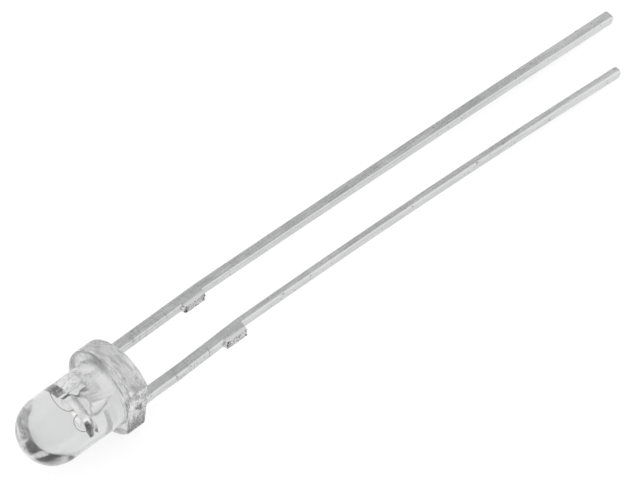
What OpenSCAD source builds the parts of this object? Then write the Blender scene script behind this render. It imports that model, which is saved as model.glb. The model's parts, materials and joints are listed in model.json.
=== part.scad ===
// Round 3 mm through-hole light-emitting diode with a clear body and two long leads.
// Lengths are in millimetres and angles in degrees.
// Each piece is drawn about the axis of the body: the seat, which is the back of the
// flange, is the plane x = 0, the dome points to -x, the leads run to +x, and the sheet
// that they were stamped from lies in the plane z = 0. settle() then turns every piece
// about the centre of the seat, so that the flange and both tips touch one level floor.

/* [Body] */
// Diameter of the round barrel
barrel_d = 3; // [2.8:0.05:3.5]
// Height of the body, from the seat to the top of the dome
body_h = 5.3; // [4.9:0.1:8]
// Diameter of the flange
flange_d = 4; // [3.9:0.05:5]
// Thickness of the flange
flange_t = 1; // [0.8:0.05:1.4]
// Epoxy between the cathode lead and the flat on the flange
flat_wall = 0.08; // [0.06:0.01:0.25]
// Radius of the flange's two rims
rim_r = 0.08; // [0.03:0.01:0.15]
// Radius of the fillet between flange and barrel
root_r = 0.08; // [0.03:0.01:0.12]

/* [Leads] */
// Distance between the middles of the two leads at the seat
lead_pitch = 2.54; // [2.4:0.02:2.6]
// Thickness of the sheet that the leads are stamped from
lead_t = 0.41; // [0.3:0.01:0.5]
// Width of the leads between the body and their stubs
lead_w = 0.5; // [0.46:0.01:0.56]
// Width of the anode lead past its stub
anode_tail_w = 0.46; // [0.3:0.01:0.46]
// Width of the cathode lead past its stub
cathode_tail_w = 0.35; // [0.3:0.01:0.46]
// Length of the cathode lead from the seat
cathode_len = 26.7; // [12:0.1:30]
// How much longer the anode lead is
anode_extra = 1.8; // [0.6:0.1:3]
// Distance from the seat to the stubs of the cut tie bar
stub_x = 4.5; // [3:0.1:6]
// Length of each stub along its lead
stub_len = 1.2; // [0.6:0.05:1.5]
// How far each stub stands out from the side of its lead
stub_out = 0.22; // [0.1:0.01:0.3]
// Length of the slope at each end of a stub
stub_slope = 0.05; // [0.02:0.01:0.1]
// Slant of the cut at the tips, from square
tip_slant = 16; // [0:1:30]
// Length of the bevel on the upper edge of each tip
tip_bevel = 0.14; // [0.05:0.01:0.25]
// Depth of that bevel
tip_bevel_t = 0.05; // [0.02:0.01:0.1]
// Length of the straight stretch in which the leads leave the body
straight_len = 2.05; // [2.05:0.05:2.5]
// Sideways angle of the anode lead from there to the far end of its stub
anode_exit = 0.2; // [0:0.1:5]
// Sideways angle of the cathode lead over the same stretch
cathode_exit = 1.7; // [0:0.1:5]
// Sideways angle at which both leads come back past their stubs
return_angle = 2.2; // [0:0.1:3]
// How far the anode lead bows to the side between its stub and its tip
anode_bow = 0.05; // [0:0.01:0.2]
// How far the cathode lead bows to the same side
cathode_bow = 0.13; // [0:0.01:0.2]

/* [Lead frame in the body] */
// Epoxy between the lead frame and the side of the barrel
frame_cover = 0.52; // [0.4:0.01:0.56]
// Gap between the head of the anode post and the cup
frame_gap = 0.12; // [0.1:0.01:0.2]
// Height at which the leads start to step into the barrel
step_low = 0.25; // [0.2:0.05:0.4]
// Height of that step
step_h = 0.45; // [0.3:0.05:0.5]
// Width of the cathode's neck, which stands on the axis under the cup
neck_w = 0.66; // [0.5:0.02:0.7]
// Height of the neck above the seat
neck_h = 2.35; // [2:0.05:2.6]
// Length over which the neck narrows below the cup
neck_taper = 0.35; // [0.2:0.05:0.5]
// Height of the reflector cup above the neck
cup_h = 0.55; // [0.5:0.01:0.65]
// Height of the cup's upright wall
cup_wall = 0.4; // [0.3:0.01:0.45]
// Depth of the cup's hollow
cup_depth = 0.32; // [0.26:0.01:0.36]
// Slope of the hollow's wall, from the axis
cup_flare = 30; // [15:1:32]
// Thickness of the cup's rim
cup_rim = 0.07; // [0.04:0.01:0.08]
// Distance from the cup's rim down to the tops of the ear and of the anode post
rim_drop = 0.05; // [0.03:0.01:0.1]
// Height of the ear beside the cup and of the head of the anode post
head_h = 0.42; // [0.3:0.02:0.5]
// Width of the anode post below its head
post_w = 0.4; // [0.3:0.01:0.42]
// Corner cut off the outer ends of the ear and of the head
corner_cut = 0.06; // [0.03:0.01:0.1]

/* [Chip and wires] */
// Side of the square chip
chip_w = 0.3; // [0.2:0.01:0.34]
// Thickness of the chip
chip_t = 0.13; // [0.08:0.01:0.15]
// Gap between the chip's corners and the wall of the cup
chip_clear = 0.02; // [0.02:0.01:0.06]
// Thickness of the adhesive under the chip
glue_t = 0.02; // [0.01:0.005:0.04]
// How far the adhesive stands out around the chip
glue_out = 0.01; // [0:0.002:0.012]
// Diameter of the bond wires
wire_d = 0.03; // [0.018:0.001:0.05]
// Distance of each ball bond from the middle of the chip
ball_y = 0.085; // [0.06:0.005:0.09]
// Diameter of the ball bonds
ball_d = 0.08; // [0.06:0.005:0.1]
// Thickness of the ball bonds
ball_t = 0.025; // [0.015:0.005:0.04]
// Length of the flattened foot at the far end of each wire
foot_len = 0.12; // [0.08:0.01:0.16]
// Thickness of that foot
foot_t = 0.03; // [0.03:0.005:0.05]
// Height of the anode wire's loop above the chip
anode_loop = 0.4; // [0.35:0.05:0.8]
// Height of the cathode wire's loop above the chip
cathode_loop = 0.45; // [0.35:0.05:0.8]

/* [Hidden] */

$fn = 64;
// Sides of a bond wire, and straight stretches in its loop
wire_sides = 6;
wire_steps = 14;
// Straight stretches in the bow of a lead
bow_steps = 8;
// How far a cutting solid reaches past what it cuts
over = 0.1;

barrel_r = barrel_d / 2;
flange_r = flange_d / 2;
dome_base = body_h - barrel_r;
flat_y = lead_pitch / 2 + lead_w / 2 + flat_wall;

anode_len = cathode_len + anode_extra;
stub_end = stub_x + stub_len;
// Step from the upper to the lower edge of a slanted tip
tip_back = lead_t * tan(tip_slant);

// Half the width of the lead frame inside the barrel
frame_y = sqrt(pow(barrel_r - frame_cover, 2) - pow(lead_t / 2, 2));
step_top = step_low + step_h;
cup_top = neck_h + cup_h;
cup_floor = cup_top - cup_depth;
cup_floor_r = chip_w / sqrt(2) + chip_clear;
cup_mouth_r = cup_floor_r + cup_depth * tan(cup_flare);
cup_r = cup_mouth_r + cup_rim;
chip_base = cup_floor + glue_t;
chip_top = chip_base + chip_t;
head_y = cup_r + frame_gap;
head_top = cup_top - rim_drop;
head_foot = head_top - head_h;
// Both wires land at the same distance from the axis, in the middle of the post's head
foot_y = (head_y + frame_y) / 2;

// Sideways shift at the distance x from the seat of the lead on the side +1 or -1
function sway(side, x) =
    let (exit = side > 0 ? anode_exit : cathode_exit)
    let (bow = side > 0 ? anode_bow : cathode_bow)
    let (tail_len = (side > 0 ? anode_len : cathode_len) - stub_end)
    let (past = max(x - stub_end, 0))
    max(min(x, stub_end) - straight_len, 0) * tan(exit) - past * tan(return_angle)
    + 4 * bow * past * (tail_len - past) / pow(tail_len, 2);
// Edge on the +y side of that lead
function upper(side, x) = side * lead_pitch / 2 + lead_w / 2 + sway(side, x);

// The floor touches the rim of the flange and the lower edge of both tips. Its upward
// normal, before the piece is settled, is [-fall, lean, 1].
anode_tip = [anode_len - tip_back, upper(1, anode_len) - anode_tail_w / 2];
cathode_tip = [cathode_len - tip_back, upper(-1, cathode_len) - cathode_tail_w / 2];
lean_rate = (anode_tip.x - cathode_tip.x) / (anode_tip.y - cathode_tip.y);
reach = anode_tip.x - lean_rate * anode_tip.y;
square_term = pow(reach, 2) - pow(flange_r * lean_rate, 2);
linear_term = reach * lead_t;
constant_term = pow(lead_t / 2, 2) - pow(flange_r, 2);
fall = (sqrt(pow(linear_term, 2) - 4 * square_term * constant_term) - linear_term) / (2 * square_term);
lean = fall * lean_rate;
settle_roll = atan(lean);
settle_tilt = atan(fall / sqrt(1 + lean * lean));

module settle() {
    rotate([settle_roll, settle_tilt, 0]) children();
}

// Turns a piece drawn upwards from z = 0 to stand on the seat, towards the dome
module from_seat(height = 0) {
    translate([-height, 0, 0]) rotate([0, -90, 0]) children();
}

// Half section of the moulded body: radius to the right, height above the seat upwards
module body_section() {
    square([barrel_r, dome_base]);
    translate([0, dome_base]) intersection() {
        circle(r = barrel_r);
        square(barrel_r);
    }
    square([flange_r - rim_r, flange_t]);
    translate([0, rim_r]) square([flange_r, flange_t - 2 * rim_r]);
    for (h = [rim_r, flange_t - rim_r]) translate([flange_r - rim_r, h]) circle(r = rim_r);
    difference() {
        translate([barrel_r - rim_r, flange_t - rim_r]) square(rim_r + root_r);
        translate([barrel_r + root_r, flange_t + root_r]) circle(r = root_r);
    }
}

module body_outside() {
    difference() {
        from_seat() rotate_extrude() body_section();
        translate([-flange_t - over, -flat_y - flange_r, -flange_r])
            cube([flange_t + 2 * over, flange_r, 2 * flange_r]);
    }
}

// Outline of the part of a lead outside the body, stub included
module lead_outline(side, length, tail_w) {
    stub_y = upper(side, stub_x) - lead_w - stub_out;
    tail = [for (i = [0 : bow_steps])
        let (x = stub_end + (length - stub_end) * i / bow_steps)
        [x, upper(side, x)]];
    polygon(concat(
        [[0, upper(side, 0)], [straight_len, upper(side, 0)]],
        tail,
        [for (i = [bow_steps : -1 : 0]) tail[i] - [0, tail_w]],
        [
            [stub_end - stub_slope, stub_y],
            [stub_x + stub_slope, stub_y],
            [stub_x, upper(side, stub_x) - lead_w],
            [straight_len, upper(side, 0) - lead_w],
            [0, upper(side, 0) - lead_w]
        ]
    ));
}

// A lead outside the body, with its tip cut on a slant and bevelled above
module lead_outside(side, length, tail_w) {
    difference() {
        linear_extrude(height = lead_t, center = true) lead_outline(side, length, tail_w);
        translate([length, upper(side, length) - tail_w / 2, lead_t / 2]) {
            rotate([0, tip_slant, 0])
                translate([0, -lead_w, -2 * lead_t]) cube([lead_w, 2 * lead_w, 3 * lead_t]);
            rotate([0, atan(tip_bevel_t / tip_bevel), 0])
                translate([-tip_bevel, -lead_w, 0]) cube([2 * lead_w, 2 * lead_w, lead_t]);
        }
    }
}

// The stamped part of the cathode inside the body: a step in to the neck, and an ear
module cathode_sheet() {
    outer = -lead_pitch / 2 - lead_w / 2;
    half_neck = neck_w / 2;
    linear_extrude(height = lead_t, center = true) {
        polygon([
            [0, outer],
            [-step_low, outer],
            [-step_top, -half_neck],
            [neck_taper - neck_h, -half_neck],
            [-neck_h, -lead_t / 2],
            [-neck_h, lead_t / 2],
            [neck_taper - neck_h, half_neck],
            [-step_low, half_neck],
            [0, outer + lead_w]
        ]);
        polygon([
            [-head_foot, 0],
            [-head_foot, -frame_y],
            [corner_cut - head_top, -frame_y],
            [-head_top, corner_cut - frame_y],
            [-head_top, 0]
        ]);
    }
}

// The reflector cup, coined out of the top of the neck
module cup() {
    from_seat(neck_h) rotate_extrude() polygon([
        [0, -cup_depth],
        [lead_t / 2, -cup_depth],
        [cup_r, cup_h - cup_wall],
        [cup_r, cup_h],
        [cup_mouth_r, cup_h],
        [cup_floor_r, cup_h - cup_depth],
        [0, cup_h - cup_depth]
    ]);
}

// The stamped post of the anode, which steps in beside the neck and ends in a head
module anode_post() {
    outer = lead_pitch / 2 + lead_w / 2;
    linear_extrude(height = lead_t, center = true) polygon([
        [0, outer],
        [-step_low, outer],
        [-step_top, frame_y],
        [corner_cut - head_top, frame_y],
        [-head_top, frame_y - corner_cut],
        [-head_top, head_y],
        [-head_foot, head_y],
        [corner_cut - head_foot, frame_y - post_w],
        [-step_top, frame_y - post_w],
        [-step_low, outer - lead_w],
        [0, outer - lead_w]
    ]);
}

// Point at the share t along a curve with two ends and two pulls
function curve(start, pull_a, pull_b, end, t) =
    pow(1 - t, 3) * start + 3 * pow(1 - t, 2) * t * pull_a + 3 * (1 - t) * t * t * pull_b + t * t * t * end;

// Sweeps a thin wire through points of the plane z = 0
module swept_wire(points) {
    last = len(points) - 1;
    rings = [for (i = [0 : last])
        let (along = points[min(i + 1, last)] - points[max(i - 1, 0)], side = [-along.y, along.x] / norm(along))
        for (k = [0 : wire_sides - 1])
        let (turn = 360 * k / wire_sides, in = wire_d / 2 * cos(turn), up = wire_d / 2 * sin(turn))
        [points[i].x + in * side.x, points[i].y + in * side.y, up]];
    walls = [for (i = [0 : last - 1], k = [0 : wire_sides - 1])
        let (a = i * wire_sides + k, b = i * wire_sides + (k + 1) % wire_sides)
        [a + wire_sides, b + wire_sides, b, a]];
    first_end = [for (k = [0 : wire_sides - 1]) k];
    last_end = [for (k = [wire_sides - 1 : -1 : 0]) last * wire_sides + k];
    polyhedron(rings, concat(walls, [first_end, last_end]));
}

// A bond wire: a ball on the chip, a loop, and a foot on the ear or on the head
module bond_wire(from_y, to_y, loop) {
    start = [-chip_top - ball_t / 2, from_y];
    end = [-head_top - foot_t / 2, to_y];
    rise = [-chip_top - loop * 4 / 3, from_y];
    drop = [-chip_top - loop * 4 / 3, (from_y + 3 * to_y) / 4];
    from_seat(chip_top) translate([0, from_y, 0]) cylinder(d = ball_d, h = ball_t, $fn = 8);
    swept_wire([for (i = [0 : wire_steps]) curve(start, rise, drop, end, i / wire_steps)]);
    translate([-head_top - foot_t, to_y - foot_len / 2, -wire_d]) cube([foot_t, foot_len, 2 * wire_d]);
}

module anode_metal() {
    anode_post();
    lead_outside(1, anode_len, anode_tail_w);
}

module cathode_metal() {
    difference() {
        union() {
            cathode_sheet();
            cup();
        }
        from_seat(cup_floor) cylinder(r1 = cup_floor_r, r2 = cup_mouth_r, h = cup_depth);
    }
    lead_outside(-1, cathode_len, cathode_tail_w);
}

module chip_block() {
    translate([-chip_top, -chip_w / 2, -chip_w / 2]) cube([chip_t, chip_w, chip_w]);
}

module adhesive_pad() {
    side = chip_w + 2 * glue_out;
    translate([-chip_base, -side / 2, -side / 2]) cube([glue_t, side, side]);
}

module anode_bond() {
    bond_wire(ball_y, foot_y, anode_loop);
}

module cathode_bond() {
    bond_wire(-ball_y, -foot_y, cathode_loop);
}

// The epoxy is cast around the rest, so it has their exact hollows
module lens() {
    color("gainsboro", 0.45) settle() difference() {
        body_outside();
        anode_metal();
        cathode_metal();
        chip_block();
        adhesive_pad();
        anode_bond();
        cathode_bond();
    }
}

module anode_lead() {
    color("darkgray") settle() anode_metal();
}

module cathode_lead() {
    color("silver") settle() cathode_metal();
}

module chip() {
    color("khaki") settle() chip_block();
}

module chip_adhesive() {
    color("whitesmoke") settle() adhesive_pad();
}

module anode_wire() {
    color("gold") settle() anode_bond();
}

module cathode_wire() {
    color("gold") settle() cathode_bond();
}

lens();
anode_lead();
cathode_lead();
chip();
chip_adhesive();
anode_wire();
cathode_wire();
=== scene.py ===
"""Dresses a 3 mm light-emitting diode: clear epoxy, stamped and plated leads, chip and bond wires.

Lengths below are in millimetres. Shapes are worked out in the diode's own frame and then turned
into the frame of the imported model. In the diode's frame the seat is the plane x = 0, the dome
points to -x, the leads run to +x and the stamped sheet lies in z = 0.
"""
import json
import math

import bmesh
import bpy
import numpy as np
from mathutils import Matrix, Vector, noise


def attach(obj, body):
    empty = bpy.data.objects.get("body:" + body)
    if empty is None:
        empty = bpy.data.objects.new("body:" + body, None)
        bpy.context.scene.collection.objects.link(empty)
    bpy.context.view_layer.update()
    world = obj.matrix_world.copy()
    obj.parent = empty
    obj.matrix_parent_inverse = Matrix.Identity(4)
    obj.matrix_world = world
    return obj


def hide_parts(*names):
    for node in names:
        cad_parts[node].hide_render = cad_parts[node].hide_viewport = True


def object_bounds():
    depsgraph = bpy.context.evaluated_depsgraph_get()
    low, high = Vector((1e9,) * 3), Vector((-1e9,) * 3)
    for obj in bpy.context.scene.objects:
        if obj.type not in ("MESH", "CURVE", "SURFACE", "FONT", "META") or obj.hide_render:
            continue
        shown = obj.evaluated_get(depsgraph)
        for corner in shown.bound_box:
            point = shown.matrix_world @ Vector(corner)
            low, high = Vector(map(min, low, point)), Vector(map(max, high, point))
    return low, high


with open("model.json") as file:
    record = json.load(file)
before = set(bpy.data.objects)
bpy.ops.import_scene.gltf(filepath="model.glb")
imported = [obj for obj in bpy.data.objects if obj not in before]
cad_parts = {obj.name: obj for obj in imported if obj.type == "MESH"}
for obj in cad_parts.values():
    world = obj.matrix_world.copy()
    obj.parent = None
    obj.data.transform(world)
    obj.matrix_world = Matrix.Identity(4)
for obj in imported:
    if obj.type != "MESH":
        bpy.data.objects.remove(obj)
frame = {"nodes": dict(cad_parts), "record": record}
cad_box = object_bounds()

MM = 0.001
BODY = "root"

# The diode's own axes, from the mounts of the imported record
mounts = {mount["name"]: mount for mount in frame["record"]["mounts"]}
seat = Vector(mounts["seat"]["pos_m"])
AXIS = Vector(mounts["seat"]["axis"]).normalized()
flange_front = Vector(mounts["panel_seat"]["pos_m"]) - seat
UPWARD = (flange_front - AXIS * flange_front.dot(AXIS)).normalized()
SIDEWAYS = UPWARD.cross(AXIS)
TURN = Matrix((AXIS, SIDEWAYS, UPWARD)).transposed().to_4x4()
TO_ROW = Matrix.Translation(seat) @ TURN @ Matrix.Scale(MM, 4)
TO_DIODE = TO_ROW.inverted()

# Part of a lead, along it, in which its cut stub lies
STUB_FROM = 3.0
STUB_TO = 7.0


def near_stub(x):
    """Whether a place along a lead is where its cut stub lies."""
    return STUB_FROM < x < STUB_TO


def diode_points(node):
    """Corners of a CAD node along the diode's own axes, in millimetres."""
    return [TO_DIODE @ vertex.co for vertex in frame["nodes"][node].data.vertices]


def diode_box(points):
    """Lowest and highest corner of a box round some points."""
    return Vector(map(min, zip(*points))), Vector(map(max, zip(*points)))


def stub_box(node):
    """Lowest and highest corner of the part of a lead that its cut stub takes up."""
    return diode_box([point for point in diode_points(node) if near_stub(point.x)])


# Sizes read from the frame
LENS_LOW, LENS_HIGH = diode_box(diode_points("lens"))
ANODE_LOW, ANODE_HIGH = diode_box(diode_points("anode_lead"))
CHIP_LOW, CHIP_HIGH = diode_box(diode_points("chip"))
ANODE_WIRE_END = diode_box(diode_points("anode_wire"))[1].y
CATHODE_WIRE_END = diode_box(diode_points("cathode_wire"))[0].y
BODY_HEIGHT = -LENS_LOW.x
BARREL_RADIUS = mounts["barrel"]["dims"]["r_mm"]
FLANGE_RADIUS = LENS_HIGH.z
FLANGE_HEIGHT = -flange_front.dot(AXIS) / MM
FLAT_DISTANCE = -LENS_LOW.y
DOME_BASE = BODY_HEIGHT - BARREL_RADIUS
LEAD_THICKNESS = ANODE_HIGH.z - ANODE_LOW.z
STUB_LOW, STUB_HIGH = stub_box("anode_lead")
STUB_FACES = (STUB_LOW.y, stub_box("cathode_lead")[0].y)
STUB_MIDDLE = (STUB_LOW.x + STUB_HIGH.x) / 2
STUB_HALF = (STUB_HIGH.x - STUB_LOW.x) / 2

# Moulded radii of the body, and how finely it is turned
RIM_RADIUS = 0.08
ROOT_RADIUS = 0.08
FLAT_EDGE = 0.04
TURN_STEPS = 256
EDGE_STEPS = 6
BARREL_STEPS = 12
DOME_STEPS = 59
DOME_END = 88.5
SEAT_SHARES = (0.03, 0.25, 0.5, 0.75, 0.9, 0.97)
FLANGE_SHARES = (0.12, 0.3, 0.5, 0.7, 0.88)
FRONT_SHARES = (0.95, 0.7, 0.3, 0.05)

# Skin of the leads outside the body: where it joins the part inside, its edges, tip and waviness
JOINT = -0.01
UNDER_ROUND = 0.05
FAR_ROUND = 0.06
LEAST_ROUND = 0.01
TIP_ROUND = 0.03
TIP_BEVEL = 0.14
TIP_BEVEL_DEPTH = 0.05
SLANT_LENGTH = 1.0
WAVE_HEIGHT = 0.004
WAVE_RATE = 0.9

# Its rings: how many come before the stub, at it, past it and at the tip, and the points of one
RINGS_BEFORE = 24
RINGS_AT_STUB = 70
RINGS_PAST = 100
RINGS_AT_TIP = 14
STUB_MARGIN = 0.08
RING_GAP = 0.02
TIP_LENGTH = 0.2
CORNER_STEPS = 5
SIDE_STEPS = 12
FACE_STEPS = 6

# Tolerances for finding the edges of the CAD's leads, for welding them and for cutting them
SLACK = 0.001
OUTSIDE_FROM = 0.5
WELD = 0.0002
CUT_SLACK = 0.00001

# Torn faces of the stubs: how far in the tear reaches, its grain, and the deeper nicks at its ends
TEAR_REACH = 0.12
TEAR_GRAIN = 9
TEAR_RIM = 0.05
NICK_LENGTH = 0.2
NICK_DEPTH = 0.14

# Of each lead: the seed and the depth of its torn face, and the radius of its near upper edge
LEADS = {"anode_lead": (3.0, 0.03, 0.09), "cathode_lead": (8.0, 0.012, 0.12)}

# Bond wires
WIRE_RADIUS = 0.015
BALL_OFFSET = 0.085
BALL_RADIUS = 0.04
BALL_HEIGHT = 0.025
FOOT_LENGTH = 0.12
FOOT_WIDTH = 0.06
FOOT_HEIGHT = 0.03
ANODE_LOOP = 0.4
CATHODE_LOOP = 0.45

# Camera of the photograph: where it looks, from which side, and how large the object appears
VIEW_TARGET = Vector((9.0477, -2.5159, 3.3256)) * MM
VIEW_AZIMUTH = -42.138
VIEW_ELEVATION = 51.658
VIEW_ROLL = -2.48
VIEW_DISTANCE = 0.8
VIEW_LENS = 1105.7
SENSOR_WIDTH = 36.0

# Floor, tent and lamp: lengths in metres, power in watts
FLOOR_HALF = 4.0
FLOOR_PAPER = 0.25
FLOOR_GLOW = 0.8
FLOOR_LOSS = 0.13
TENT_RISE = 0.7
LAMP_SIZE = 2.0
LAMP_POWER = 2.0
LAMP_PLACE = (-0.35, 0.1, 0.9)


def grey(level, warmth=0.0):
    """A grey, which can be a little warm or, below zero, a little cool."""
    return (level * (1 + warmth), level, level * (1 - warmth), 1.0)


# Colours, in pairs where a grain goes from one to the other
WHITE = grey(1.0)
EPOXY = (grey(0.84, -0.004), grey(0.74, -0.006))
EPOXY_STREAK = grey(0.32)
# Tin of the tops, darker as painted shade, and of the sides, lighter as painted light, over the
# rolled and sheared finish
ROLLED_TIN_SHADED = (grey(0.29, -0.006), grey(0.54, -0.004))
SHEARED_TIN_LIT = (grey(0.52, -0.006), grey(0.72, -0.004))
# A painted highlight along the rounded upper edge of the leads
EDGE_HIGHLIGHT_TIN = grey(0.95)
SCORED_TIN = grey(0.2)
PITTED_TIN = grey(0.16)
STUB_TIN = grey(0.66)
TORN_STEEL = (grey(0.3), grey(0.75))
# Painted shade in the deep tears of the stubs' broken faces
TEAR_SHADE = grey(0.04)
SILVER = (grey(0.94, 0.002), grey(0.99, 0.002))
# Painted shade on the silver inside the body: streaks on the post, its head, and the undersides
POST_SHADE_SILVER = grey(0.3)
HEAD_SHADE_SILVER = grey(0.09)
UNDERSIDE_SHADE_SILVER = grey(0.1)
WIRE_GOLD = ((0.36, 0.33, 0.28, 1.0), (0.5, 0.46, 0.4, 1.0))
PAD_GOLD = (0.88, 0.66, 0.3, 1.0)
SAPPHIRE = ((0.56, 0.6, 0.47, 1.0), (0.72, 0.75, 0.62, 1.0))
TRENCH = (0.25, 0.27, 0.22, 1.0)
GLUE = ((0.72, 0.71, 0.67, 1.0), (0.86, 0.85, 0.82, 1.0))
TENT = (grey(0.78), WHITE)

EPOXY_IOR = 1.53
EPOXY_CLEARNESS = 0.95
SAPPHIRE_IOR = 1.77


class Wire:
    """An output of a shader node. Arithmetic on it adds Math nodes to its tree."""

    def __init__(self, shader, socket):
        self.shader = shader
        self.socket = socket

    def math(self, operation, *others):
        values = dict(enumerate((self, *others)))
        return self.shader.add("ShaderNodeMath", {"operation": operation}, values)

    def __add__(self, other):
        return self.math("ADD", other)

    def __sub__(self, other):
        return self.math("SUBTRACT", other)

    def __mul__(self, other):
        return self.math("MULTIPLY", other)

    def size(self):
        return self.math("ABSOLUTE")

    def greater(self, other):
        return self.math("MAXIMUM", other)

    def ramp(self, start, end, low=0.0, high=1.0):
        """Goes smoothly from low to high while this value goes from start to end."""
        values = {"Value": self, "From Min": start, "From Max": end, "To Min": low, "To Max": high}
        return self.shader.add("ShaderNodeMapRange", {"interpolation_type": "SMOOTHSTEP"}, values)


class Shader:
    """A node tree under construction, of a material or of the world."""

    def __init__(self, owner):
        owner.use_nodes = True
        self.owner = owner
        self.tree = owner.node_tree
        self.tree.nodes.clear()

    def add(self, kind, settings=None, values=None, output=0):
        """Makes one node: its settings first, then the values or links of its sockets."""
        node = self.tree.nodes.new(kind)
        for name, value in (settings or {}).items():
            setattr(node, name, value)
        for name, value in (values or {}).items():
            if isinstance(value, Wire):
                self.tree.links.new(value.socket, node.inputs[name])
            else:
                node.inputs[name].default_value = value
        return Wire(self, node.outputs[output]) if len(node.outputs) else node

    def blend(self, factor, first, second):
        """A colour between two others."""
        settings = {"data_type": "RGBA", "clamp_factor": True}
        return self.add("ShaderNodeMix", settings, {0: factor, 6: first, 7: second}, output=2)


class Surface(Shader):
    """A material of the diode. Its places are the distances along the leads, across and up."""

    def __init__(self, name):
        super().__init__(bpy.data.materials.new(name))
        place = self.add("ShaderNodeTexCoord", output=3)
        shifted = self.add("ShaderNodeVectorMath", {"operation": "SUBTRACT"}, {0: place, 1: seat})
        self.places = [self.dot(shifted, axis / MM) for axis in (AXIS, SIDEWAYS, UPWARD)]

    def dot(self, vector, axis):
        values = {0: vector, 1: axis}
        return self.add("ShaderNodeVectorMath", {"operation": "DOT_PRODUCT"}, values, output=1)

    def facing(self, axis):
        """How far the surface faces along an axis, from -1 to 1."""
        return self.dot(self.add("ShaderNodeNewGeometry", output=1), axis)

    def grain(self, *rates, detail=3.0, roughness=0.55, distortion=0.0):
        """Noise with so many grains to the millimetre along the leads, across them and up."""
        scaled = [place * rate for place, rate in zip(self.places, rates)]
        point = self.add("ShaderNodeCombineXYZ", None, dict(enumerate(scaled)))
        values = {"Vector": point, "Scale": 1.0, "Detail": detail}
        values.update({"Roughness": roughness, "Distortion": distortion})
        return self.add("ShaderNodeTexNoise", {"noise_dimensions": "3D"}, values)

    def relief(self, height, strength, depth):
        """Bumps of a depth in millimetres."""
        values = {"Strength": strength, "Distance": depth * MM, "Height": height}
        return self.add("ShaderNodeBump", None, values)

    def finish(self, values):
        """Ends the material in one Principled shader."""
        principled = self.add("ShaderNodeBsdfPrincipled", None, values)
        self.add("ShaderNodeOutputMaterial", None, {"Surface": principled})
        return self.owner


def epoxy_material():
    """Water-clear epoxy, smooth on the dome, cloudy and rippled on the flange."""
    shader = Surface("clear_epoxy")
    along, across, up = shader.places
    on_flange = along.ramp(-FLANGE_HEIGHT - 0.2, -FLANGE_HEIGHT)
    on_barrel = along.ramp(-3.4, -2.4)
    at_flat = across.ramp(0.06 - FLAT_DISTANCE, 0.02 - FLAT_DISTANCE)
    on_flat = shader.facing(SIDEWAYS).ramp(-0.9, -0.98) * at_flat * on_flange
    ripple = shader.grain(4.5, 1.8, 1.8, detail=2.0, distortion=0.4)
    texture = shader.grain(14, 14, 14, detail=4.0)
    cloud = shader.grain(6.0, 1.6, 1.6, detail=4.0, roughness=0.6)
    stroke = shader.grain(5.5, 1.2, 1.2, detail=4.0, roughness=0.65, distortion=0.3)
    height = ripple * (on_flange + on_barrel * 0.14 + 0.02)
    height = height + texture * (on_flange * 0.05 + on_barrel * 0.03 + 0.01)
    mottled = cloud.ramp(0.35, 0.65) * on_flange
    streaked = stroke.ramp(0.5, 0.6) * on_flange * up.ramp(0.8, 1.3) * 0.8
    beside_flat = across.ramp(-0.9, -1.3) * on_flange * 0.8
    clear = shader.blend(mottled, *EPOXY)
    clear = shader.blend(streaked, clear, EPOXY_STREAK)
    clear = shader.blend(beside_flat, clear, WHITE)
    return shader.finish({
        "Base Color": shader.blend(on_flat, clear, WHITE),
        "Roughness": on_flange * 0.12 + on_flat * 0.03 + mottled * 0.1 + on_barrel * 0.04 + 0.01,
        "IOR": EPOXY_IOR,
        "Transmission Weight": EPOXY_CLEARNESS,
        "Normal": shader.relief(height, 0.5, 0.08),
    })


def tin_colour(shader, tone_and_tip_light, scored, pit):
    """Tin on the rolled faces and the sheared sides, with painted shade on the tops, painted light
    on the sides and a painted highlight along the rounded edge, and the torn faces of the cut
    stubs with painted shade in their deep tears.
    """
    along, across = shader.places[:2]
    sideways = shader.facing(SIDEWAYS).size()
    # The tops are darker and the sides lighter: painted shade and painted light over the rolled
    # and sheared finish
    rolled_shaded = shader.blend(tone_and_tip_light, *ROLLED_TIN_SHADED)
    sheared = shader.blend(tone_and_tip_light, *SHEARED_TIN_LIT)
    # Painted highlight: a bright strip along the rounded edge between the top and the side
    edge_highlight = sideways.ramp(0.15, 0.45) * sideways.ramp(0.98, 0.7)
    tin = shader.blend(sideways.ramp(0.25, 0.8), rolled_shaded, sheared)
    tin = shader.blend(edge_highlight * 0.5, tin, EDGE_HIGHLIGHT_TIN)
    tin = shader.blend(scored * 0.5, tin, SCORED_TIN)
    tin = shader.blend(pit * 0.6, tin, PITTED_TIN)
    from_middle = (along - STUB_MIDDLE).size()
    tops = [(across - face - TEAR_REACH).size().ramp(0.16, 0.06) for face in STUB_FACES]
    on_top = (tops[0] + tops[1]) * from_middle.ramp(STUB_HALF, STUB_HALF - 0.08)
    tin = shader.blend(on_top * 0.8, tin, STUB_TIN)
    faces = [(across - face).size().ramp(0.16, 0.1) for face in STUB_FACES]
    broken = (faces[0] + faces[1]) * from_middle.ramp(STUB_HALF + 0.03, STUB_HALF)
    broken = broken * sideways.ramp(0.4, 0.7)
    torn = shader.grain(11, 11, 11, roughness=0.7)
    # Painted shade: the torn faces go nearly black in patches, more of them towards the deeper
    # nicks at the stub's ends
    tear_shade_from = from_middle.ramp(STUB_HALF - 0.24, STUB_HALF - 0.05, 0.6, 0.46)
    tin = shader.blend(broken, tin, shader.blend(torn.ramp(0.4, 0.6), *TORN_STEEL))
    return shader.blend(broken * (torn - tear_shade_from).ramp(0.0, 0.06), tin, TEAR_SHADE)


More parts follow.
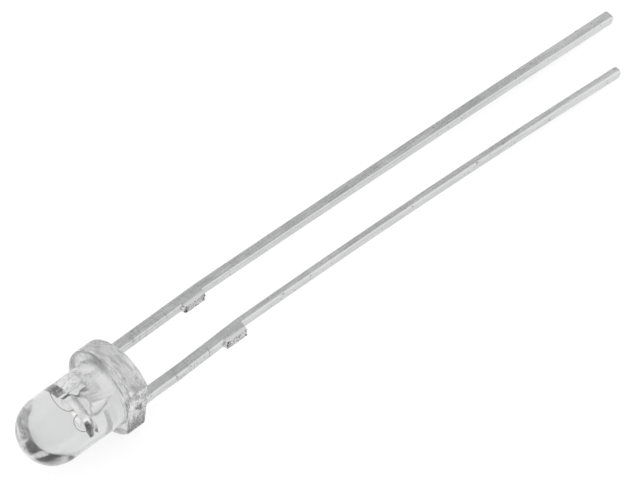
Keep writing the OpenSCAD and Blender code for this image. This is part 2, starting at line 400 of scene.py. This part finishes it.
def silver_colour(shader, tone_and_tip_light):
    """Silver on the lead frame inside the body, with painted shade on the post, its head, the
    underside and the faces turned to +y.
    """
    along, across, up = shader.places
    post_shade_streaks = shader.grain(5, 24, 4.0, detail=4.0, roughness=0.7)
    hatch = shader.grain(12, 12, 2.0, roughness=0.7)
    post = across.ramp(0.38, 0.44) * along.ramp(-0.9, -1.1)
    pad_from = across.ramp(-0.1, 0.1, -2.66, -2.48)
    head = (along - pad_from).ramp(0.05, -0.05) * across.size().ramp(0.55, 0.62)
    # Painted shade on the undersides and on the faces turned to +y, over the middle of the frame
    frame_shade = across.ramp(-0.12, 0.02) * across.ramp(0.8, 0.68)
    frame_shade = frame_shade * along.ramp(-1.6, -1.8) * along.ramp(-2.62, -2.56)
    shaded_faces = up.ramp(-0.15, -0.19).greater(shader.facing(SIDEWAYS).ramp(0.5, 0.8))
    silver = shader.blend(tone_and_tip_light, *SILVER)
    # Painted shade in streaks on the flank of the post
    silver = shader.blend(post * post_shade_streaks.ramp(0.5, 0.64) * 0.6, silver, POST_SHADE_SILVER)
    # Painted shade, in a hatched pattern, on the heads of the posts beside the chip
    silver = shader.blend(head * hatch.ramp(0.22, 0.5), silver, HEAD_SHADE_SILVER)
    return shader.blend(frame_shade * shaded_faces, silver, UNDERSIDE_SHADE_SILVER)


def plating_material():
    """Dull tin outside the body, bright silver inside it, with rolling streaks, scratches, and
    painted light and shade.
    """
    shader = Surface("tinned_steel")
    along = shader.places[0]
    inside = along.ramp(0.05, -0.05)
    cloud = shader.grain(0.9, 2.5, 2.5, detail=4.0)
    streak = shader.grain(0.35, 16, 16)
    grit = shader.grain(22, 22, 22, roughness=0.7)
    scratch = shader.grain(26, 1.5, 3.0, detail=2.0, distortion=0.6)
    handled = along.ramp(1.2, 1.8) * along.ramp(4.2, 3.6)
    scored = scratch.ramp(0.56, 0.66) * handled
    pit = shader.grain(5, 9, 9, detail=1.0).ramp(0.68, 0.76)
    tone_and_tip_light = streak.ramp(0.35, 0.65) * 0.3 + cloud.ramp(0.3, 0.7) * 0.3
    # Painted light: the tin grows lighter towards the tips of the leads
    tone_and_tip_light = tone_and_tip_light + grit.ramp(0.42, 0.58) * 0.4 + along.ramp(20.0, 27.0) * 0.3
    tin = tin_colour(shader, tone_and_tip_light, scored, pit)
    silver = silver_colour(shader, tone_and_tip_light)
    roughness = grit * 0.16 + cloud * 0.14 + scored * 0.1 + 0.2
    height = streak * 0.6 + grit * 0.3 + scored * 0.6 - pit * 0.6
    return shader.finish({
        "Base Color": shader.blend(inside, tin, silver),
        "Metallic": 1.0,
        "Roughness": roughness * inside.ramp(0.0, 1.0, 1.0, 0.45),
        "Normal": shader.relief(height, 0.3, 0.03),
    })


def gold_material():
    """Drawn gold wire, finely grained."""
    shader = Surface("bond_gold")
    grain = shader.grain(40, 40, 40)
    return shader.finish({
        "Base Color": shader.blend(grain, *WIRE_GOLD),
        "Metallic": 1.0,
        "Roughness": grain * 0.15 + 0.15,
        "Normal": shader.relief(grain, 0.15, 0.003),
    })


def chip_material():
    """Pale sapphire with a gold pad under each ball and a thin trench round the lit area."""
    shader = Surface("sapphire")
    along, across, up = shader.places
    half = (CHIP_HIGH.y - CHIP_LOW.y) / 2
    top = along.ramp(CHIP_LOW.x + 0.012, CHIP_LOW.x + 0.004)
    reach = across.size().greater(up.size())
    trench = reach.ramp(half - 0.035, half - 0.03) * reach.ramp(half - 0.018, half - 0.023) * top
    off_pad = across.size() - BALL_OFFSET
    span = (off_pad * off_pad + up * up).math("SQRT")
    pad = span.ramp(BALL_RADIUS + 0.012, BALL_RADIUS + 0.006) * top
    saw = shader.grain(90, 12, 12)
    body = shader.blend(trench, shader.blend(saw, *SAPPHIRE), TRENCH)
    return shader.finish({
        "Base Color": shader.blend(pad, body, PAD_GOLD),
        "Metallic": pad,
        "Roughness": saw * 0.2 + 0.12,
        "IOR": SAPPHIRE_IOR,
        "Normal": shader.relief(saw, 0.2, 0.004),
    })


def glue_material():
    """Cured die adhesive: off-white, matt and a little lumpy."""
    shader = Surface("die_glue")
    lumps = shader.grain(30, 30, 30)
    return shader.finish({
        "Base Color": shader.blend(lumps, *GLUE),
        "Roughness": lumps * 0.3 + 0.4,
        "Normal": shader.relief(lumps, 0.4, 0.006),
    })


def finished_piece(name, mesh, node, material):
    """Puts a mesh in the scene in place of a CAD node."""
    mesh.materials.clear()
    mesh.materials.append(material)
    piece = bpy.data.objects.new(name, mesh)
    bpy.context.collection.objects.link(piece)
    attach(piece, BODY)
    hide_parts(node)


def arc(centre, radius, start, end, steps):
    """Points (radius, height) of an arc, both ends included."""
    across, up = centre
    turns = [math.radians(start + (end - start) * i / steps) for i in range(steps + 1)]
    return [(across + radius * math.cos(turn), up + radius * math.sin(turn)) for turn in turns]


def lens_profile():
    """Half section of the body from beside the seat's centre to just short of the dome's pole."""
    rim = FLANGE_RADIUS - RIM_RADIUS
    root = BARREL_RADIUS + ROOT_RADIUS
    points = [(rim * share, 0.0) for share in SEAT_SHARES]
    points += arc((rim, RIM_RADIUS), RIM_RADIUS, -90, 0, EDGE_STEPS)
    points += [(FLANGE_RADIUS, FLANGE_HEIGHT * share) for share in FLANGE_SHARES]
    points += arc((rim, FLANGE_HEIGHT - RIM_RADIUS), RIM_RADIUS, 0, 90, EDGE_STEPS)
    points += [(root + (rim - root) * share, FLANGE_HEIGHT) for share in FRONT_SHARES]
    points += arc((root, FLANGE_HEIGHT + ROOT_RADIUS), ROOT_RADIUS, -90, -180, EDGE_STEPS)
    barrel_low = FLANGE_HEIGHT + ROOT_RADIUS
    rise = (DOME_BASE - barrel_low) / BARREL_STEPS
    points += [(BARREL_RADIUS, barrel_low + rise * i) for i in range(1, BARREL_STEPS)]
    return points + arc((0.0, DOME_BASE), BARREL_RADIUS, 0, DOME_END, DOME_STEPS)


def flange_reach(turn):
    """Radius of the flange at an angle, drawn in to the flat and rounded where the two meet."""
    downward = -math.sin(turn)
    if downward <= 0:
        return FLANGE_RADIUS
    to_flat = FLAT_DISTANCE / downward
    nearness = max(FLAT_EDGE - abs(to_flat - FLANGE_RADIUS), 0.0) / FLAT_EDGE
    return min(to_flat, FLANGE_RADIUS) - nearness * nearness * FLAT_EDGE / 4


def lens_mesh():
    """The whole body as one closed turned skin."""
    root = BARREL_RADIUS + ROOT_RADIUS
    profile = lens_profile()
    bm = bmesh.new()
    seat_pole = bm.verts.new((0.0, 0.0, 0.0))
    dome_pole = bm.verts.new((-BODY_HEIGHT, 0.0, 0.0))
    columns = []
    for step in range(TURN_STEPS):
        turn = math.tau * step / TURN_STEPS
        squeeze = (flange_reach(turn) - root) / (FLANGE_RADIUS - root)
        column = []
        for radius, height in profile:
            if radius > root:
                radius = root + (radius - root) * squeeze
            place = (-height, radius * math.sin(turn), radius * math.cos(turn))
            column.append(bm.verts.new(place))
        columns.append(column)
    for column, following in zip(columns, columns[1:] + columns[:1]):
        bm.faces.new((seat_pole, following[0], column[0]))
        bm.faces.new((dome_pole, column[-1], following[-1]))
        for i in range(len(profile) - 1):
            bm.faces.new((column[i], following[i], following[i + 1], column[i + 1]))
    bmesh.ops.recalc_face_normals(bm, faces=bm.faces)
    bmesh.ops.transform(bm, matrix=TO_ROW, verts=bm.verts)
    mesh = bpy.data.meshes.new("lens_moulding")
    bm.to_mesh(mesh)
    bm.free()
    mesh.shade_smooth()
    return mesh


def lead_sides(bm):
    """The two long sides of a lead past the body: places along it, and the distance across."""
    found = {1: {}, -1: {}}
    level = SLACK - LEAD_THICKNESS / 2
    for edge in bm.edges:
        ends = [vertex.co for vertex in edge.verts]
        if len(edge.link_faces) != 2 or max(end.z for end in ends) > level:
            continue
        if max(end.x for end in ends) < OUTSIDE_FROM:
            continue
        under, wall = sorted(edge.link_faces, key=lambda face: face.normal.z)
        if under.normal.z < -0.99 and abs(wall.normal.z) < 0.1:
            side = 1 if wall.normal.y > 0.5 else -1
            found[side].update({round(end.x, 3): end.y for end in ends})
    tip = max(found[1])
    found[-1][tip] = found[-1][max(x for x in found[-1] if x < tip + SLACK)]
    return {side: tuple(zip(*sorted(places.items()))) for side, places in found.items()}


def stub_ends(sides):
    """Places along a lead where its cut stub starts and ends."""
    places = [x for x in sides[-1][0] if near_stub(x)]
    return places[0], places[-1]


def lead_stations(start, end, tip):
    """Places of the rings of a lead's skin, close together round the stub and at the tip."""
    gap = STUB_MARGIN + RING_GAP
    stations = [
        *np.linspace(JOINT, start - gap, RINGS_BEFORE),
        *np.linspace(start - STUB_MARGIN, end + STUB_MARGIN, RINGS_AT_STUB),
        *np.linspace(end + gap, tip - TIP_LENGTH, RINGS_PAST),
    ]
    shares = [math.sin(math.pi / 2 * i / RINGS_AT_TIP) for i in range(1, RINGS_AT_TIP + 1)]
    return stations + [tip - TIP_LENGTH + TIP_LENGTH * share for share in shares]


def rounded_ring(low, high, floor, top, rounds):
    """Points (across, up) of an oblong with rounded corners, against the clock."""
    corners = ((high, floor, -1, 1), (high, top, -1, -1), (low, top, 1, -1), (low, floor, 1, 1))
    ring = []
    for turn, ((across, up, inward, upward), radius) in enumerate(zip(corners, rounds)):
        centre = (across + inward * radius, up + upward * radius)
        start = 90 * turn - 90
        ring.append(arc(centre, radius, start, start + 90, CORNER_STEPS))
    points = []
    for turn, (corner, following) in enumerate(zip(ring, ring[1:] + ring[:1])):
        steps = FACE_STEPS if turn % 2 else SIDE_STEPS
        first, last = corner[-1], following[0]
        points += corner
        for i in range(1, steps):
            points.append(tuple(a + (b - a) * i / steps for a, b in zip(first, last)))
    return points


def tear_depth(x, up, stub, seed, roughness):
    """How deep the broken face of a stub is torn at a place."""
    from_ends = min(x - stub[0], stub[1] - x)
    fade = min(max(from_ends - 0.02, 0.0) / 0.04, 1.0)
    fade *= min((LEAD_THICKNESS / 2 - abs(up)) / TEAR_RIM, 1.0)
    place = Vector((x * TEAR_GRAIN + seed, up * TEAR_GRAIN, seed))
    nick = NICK_DEPTH * max(0.0, 1 - from_ends / NICK_LENGTH)
    rough = roughness * (0.6 + noise.fractal(place, 0.7, 2.1, 4))
    return fade * (rough + nick * (0.5 + noise.noise(place * 1.6)))


def lead_mesh(node, name, seed, roughness, near_round):
    """A lead: the CAD's part inside the body, and outside it a skin with rounded edges."""
    bm = bmesh.new()
    bm.from_mesh(frame["nodes"][node].data)
    bmesh.ops.transform(bm, matrix=TO_DIODE, verts=bm.verts)
    bmesh.ops.remove_doubles(bm, verts=bm.verts, dist=WELD)
    bm.normal_update()
    sides = lead_sides(bm)
    tip = sides[1][0][-1]
    slant = (max(vertex.co.x for vertex in bm.verts) - tip) / LEAD_THICKNESS
    stub = stub_ends(sides)
    geometry = bm.verts[:] + bm.edges[:] + bm.faces[:]
    cut = {"plane_co": (JOINT, 0, 0), "plane_no": (1, 0, 0), "clear_outer": True}
    bmesh.ops.bisect_plane(bm, geom=geometry, dist=CUT_SLACK, **cut)
    half = LEAD_THICKNESS / 2
    rings = []
    for x in lead_stations(*stub, tip):
        past = max(x - tip + TIP_ROUND, 0.0)
        inset = TIP_ROUND - math.sqrt(max(TIP_ROUND ** 2 - past ** 2, 0.0))
        bevel = TIP_BEVEL_DEPTH * max(x - tip + TIP_BEVEL, 0.0) / TIP_BEVEL
        wave = WAVE_HEIGHT * noise.noise(Vector((x * WAVE_RATE, seed, 0.0)))
        low = float(np.interp(x, *sides[-1]))
        high = float(np.interp(x, *sides[1])) - inset + wave
        rounds = (UNDER_ROUND, FAR_ROUND, near_round, UNDER_ROUND)
        rounds = [max(radius * min(1.0, 0.4 + x), LEAST_ROUND) for radius in rounds]
        points = rounded_ring(low + inset, high, inset - half, half - inset - bevel, rounds)
        sheared = slant * min(max(x - tip + SLANT_LENGTH, 0.0), 1.0)
        ring = []
        for across, up in points:
            if stub[0] < x < stub[1]:
                inward = min(max(1 - (across - low) / TEAR_REACH, 0.0), 1.0)
                across += inward * max(tear_depth(x, up, stub, seed, roughness), 0.0)
            ring.append(bm.verts.new((x + sheared * (up + half), across, up)))
        rings.append(ring)
    for ring, following in zip(rings, rings[1:]):
        for i in range(len(ring)):
            j = (i + 1) % len(ring)
            bm.faces.new((ring[i], ring[j], following[j], following[i]))
    bm.faces.new(rings[-1])
    open_edges = [edge for edge in bm.edges if len(edge.link_faces) == 1]
    bmesh.ops.bridge_loops(bm, edges=open_edges)
    bmesh.ops.triangulate(bm, faces=[face for face in bm.faces if len(face.verts) > 4])
    bmesh.ops.recalc_face_normals(bm, faces=bm.faces)
    bmesh.ops.transform(bm, matrix=TO_ROW, verts=bm.verts)
    mesh = bpy.data.meshes.new(name)
    bm.to_mesh(mesh)
    bm.free()
    mesh.shade_smooth()
    mesh.set_sharp_from_angle(angle=math.radians(35))
    return mesh


def wire_tree(material):
    """Geometry nodes that sweep a wire along a curve, with a ball and a foot at its ends."""
    tree = bpy.data.node_groups.new("bond_wire", "GeometryNodeTree")
    sockets = tree.interface
    sockets.new_socket("Geometry", in_out="OUTPUT", socket_type="NodeSocketGeometry")
    for name in ("Start", "Rise", "Drop", "End", "Ball Size", "Foot Size"):
        sockets.new_socket(name, in_out="INPUT", socket_type="NodeSocketVector")
    sockets.new_socket("Wire Radius", in_out="INPUT", socket_type="NodeSocketFloat")

    def add(kind, settings=None, values=None):
        node = tree.nodes.new(kind)
        for key, value in (settings or {}).items():
            setattr(node, key, value)
        for key, value in (values or {}).items():
            if isinstance(value, bpy.types.NodeSocket):
                tree.links.new(value, node.inputs[key])
            else:
                node.inputs[key].default_value = value
        return node

    given = add("NodeGroupInput").outputs
    points = {"Start": "Start", "Start Handle": "Rise", "End Handle": "Drop", "End": "End"}
    handles = {handle: given[name] for handle, name in points.items()}
    handles["Resolution"] = 48
    loop = add("GeometryNodeCurvePrimitiveBezierSegment", {"mode": "POSITION"}, handles)
    round_wire = {"Resolution": 10, "Radius": given["Wire Radius"]}
    section = add("GeometryNodeCurvePrimitiveCircle", None, round_wire)
    swept = {"Curve": loop.outputs[0], "Profile Curve": section.outputs[0], "Fill Caps": True}
    wire = add("GeometryNodeCurveToMesh", None, swept)
    ends = []
    for place, size in (("Start", "Ball Size"), ("End", "Foot Size")):
        ball = add("GeometryNodeMeshUVSphere", None, {"Segments": 20, "Rings": 10, "Radius": 0.5})
        moved = {"Geometry": ball.outputs[0], "Translation": given[place], "Scale": given[size]}
        ends.append(add("GeometryNodeTransform", None, moved))
    joined = add("GeometryNodeJoinGeometry")
    for part in (wire, *ends):
        tree.links.new(part.outputs[0], joined.inputs[0])
    real = add("GeometryNodeRealizeInstances", None, {"Geometry": joined.outputs[0]})
    smooth = add("GeometryNodeSetShadeSmooth", None, {"Geometry": real.outputs[0]})
    dressed = {"Geometry": smooth.outputs[0], "Material": material}
    painted = add("GeometryNodeSetMaterial", None, dressed)
    add("NodeGroupOutput", None, {0: painted.outputs[0]})
    return tree


def wire_mesh(name, tree, start_y, foot, loop):
    """A bond wire from the chip to a seat of the lead frame, as a plain mesh."""
    chip_top = CHIP_LOW.x
    peak = chip_top - loop * 4 / 3
    values = {
        "Start": (chip_top - BALL_HEIGHT / 2, start_y, 0.0),
        "Rise": (peak, start_y, 0.0),
        "Drop": (peak, (start_y + 3 * foot[1]) / 4, 0.0),
        "End": (foot[0] - FOOT_HEIGHT / 2, foot[1], 0.0),
        "Ball Size": (BALL_HEIGHT, 2 * BALL_RADIUS, 2 * BALL_RADIUS),
        "Foot Size": (FOOT_HEIGHT, FOOT_LENGTH, FOOT_WIDTH),
        "Wire Radius": WIRE_RADIUS,
    }
    carrier = bpy.data.objects.new(name, bpy.data.meshes.new(name))
    bpy.context.collection.objects.link(carrier)
    modifier = carrier.modifiers.new("sweep", "NODES")
    modifier.node_group = tree
    for item in tree.interface.items_tree:
        if item.in_out == "INPUT":
            modifier[item.identifier] = values[item.name]
    graph = bpy.context.evaluated_depsgraph_get()
    mesh = bpy.data.meshes.new_from_object(carrier.evaluated_get(graph), depsgraph=graph)
    bpy.data.objects.remove(carrier)
    mesh.transform(TO_ROW)
    return mesh


def stage_floor():
    """A white floor that keeps a faint shadow, and is clear when it is looked at from below."""
    mesh = bpy.data.meshes.new("floor")
    corners = ((-1, -1), (1, -1), (1, 1), (-1, 1))
    places = [(x * FLOOR_HALF, y * FLOOR_HALF, cad_box[0].z) for x, y in corners]
    mesh.from_pydata(places, [], [(0, 1, 2, 3)])
    floor = bpy.data.objects.new("floor", mesh)
    bpy.context.collection.objects.link(floor)
    shader = Shader(bpy.data.materials.new("floor"))
    direct = shader.add("ShaderNodeLightPath")
    path = direct.socket.node
    glossy = Wire(shader, path.outputs["Is Glossy Ray"])
    through = Wire(shader, path.outputs["Is Transmission Ray"])
    shown = direct.greater(glossy.greater(through)) * FLOOR_GLOW - through * FLOOR_LOSS
    paper = shader.add("ShaderNodeBsdfDiffuse", None, {"Color": grey(FLOOR_PAPER)})
    glow = shader.add("ShaderNodeEmission", None, {"Color": WHITE, "Strength": shown})
    lit = shader.add("ShaderNodeAddShader", None, {0: paper, 1: glow})
    below = shader.add("ShaderNodeNewGeometry", output=6)
    clear = shader.add("ShaderNodeBsdfTransparent")
    sided = shader.add("ShaderNodeMixShader", None, {0: below, 1: lit, 2: clear})
    shader.add("ShaderNodeOutputMaterial", None, {"Surface": sided})
    mesh.materials.append(shader.owner)


def studio_light():
    """A white tent, paler overhead than at its foot, with one very large soft lamp above."""
    world = bpy.data.worlds.new("studio")
    bpy.context.scene.world = world
    shader = Shader(world)
    direction = shader.add("ShaderNodeTexCoord")
    height = shader.add("ShaderNodeSeparateXYZ", None, {0: direction}, output=2)
    tent = shader.blend(height.ramp(0.0, TENT_RISE), *TENT)
    seen = shader.blend(shader.add("ShaderNodeLightPath"), tent, WHITE)
    room = shader.add("ShaderNodeBackground", None, {"Color": seen, "Strength": 1.0})
    shader.add("ShaderNodeOutputWorld", None, {"Surface": room})
    lamp = bpy.data.lights.new("overhead", "AREA")
    lamp.shape = "DISK"
    lamp.size = LAMP_SIZE
    lamp.energy = LAMP_POWER
    holder = bpy.data.objects.new("overhead", lamp)
    holder.location = LAMP_PLACE
    holder.rotation_mode = "QUATERNION"
    holder.rotation_quaternion = holder.location.to_track_quat("Z", "Y")
    bpy.context.collection.objects.link(holder)


def photo_camera():
    """The camera at the photograph's viewing angle."""
    angles = (VIEW_AZIMUTH, VIEW_ELEVATION, VIEW_ROLL)
    azimuth, elevation, roll = map(math.radians, angles)
    level = math.cos(elevation)
    back = Vector((math.sin(azimuth) * level, -math.cos(azimuth) * level, math.sin(elevation)))
    level_right = Vector((math.cos(azimuth), math.sin(azimuth), 0.0))
    level_above = back.cross(level_right)
    right = level_right * math.cos(roll) + level_above * math.sin(roll)
    above = level_above * math.cos(roll) - level_right * math.sin(roll)
    data = bpy.data.cameras.new("photo")
    data.sensor_width = SENSOR_WIDTH
    data.lens = VIEW_LENS
    data.clip_start = VIEW_DISTANCE / 10
    data.clip_end = VIEW_DISTANCE * 10
    camera = bpy.data.objects.new("photo", data)
    turn = Matrix((right, above, back)).transposed()
    camera.matrix_world = Matrix.Translation(VIEW_TARGET + back * VIEW_DISTANCE) @ turn.to_4x4()
    bpy.context.collection.objects.link(camera)
    bpy.context.scene.camera = camera


photo_camera()
studio_light()
stage_floor()
bpy.context.scene.view_settings.view_transform = "Standard"

plating = plating_material()
gold = gold_material()

finished_piece("lens_moulding", lens_mesh(), "lens", epoxy_material())
for node, wear in LEADS.items():
    name = node + "_plated"
    finished_piece(name, lead_mesh(node, name, *wear), node, plating)

anode_foot = (ANODE_LOW.x, ANODE_WIRE_END - FOOT_LENGTH / 2)
cathode_foot = (ANODE_LOW.x, CATHODE_WIRE_END + FOOT_LENGTH / 2)
routes = {
    "anode_wire": (BALL_OFFSET, anode_foot, ANODE_LOOP),
    "cathode_wire": (-BALL_OFFSET, cathode_foot, CATHODE_LOOP),
}
sweep = wire_tree(gold)
for node, route in routes.items():
    name = node + "_drawn"
    finished_piece(name, wire_mesh(name, sweep, *route), node, gold)

for node, material in (("chip", chip_material()), ("chip_adhesive", glue_material())):
    piece = frame["nodes"][node]
    piece.data.materials.clear()
    piece.data.materials.append(material)
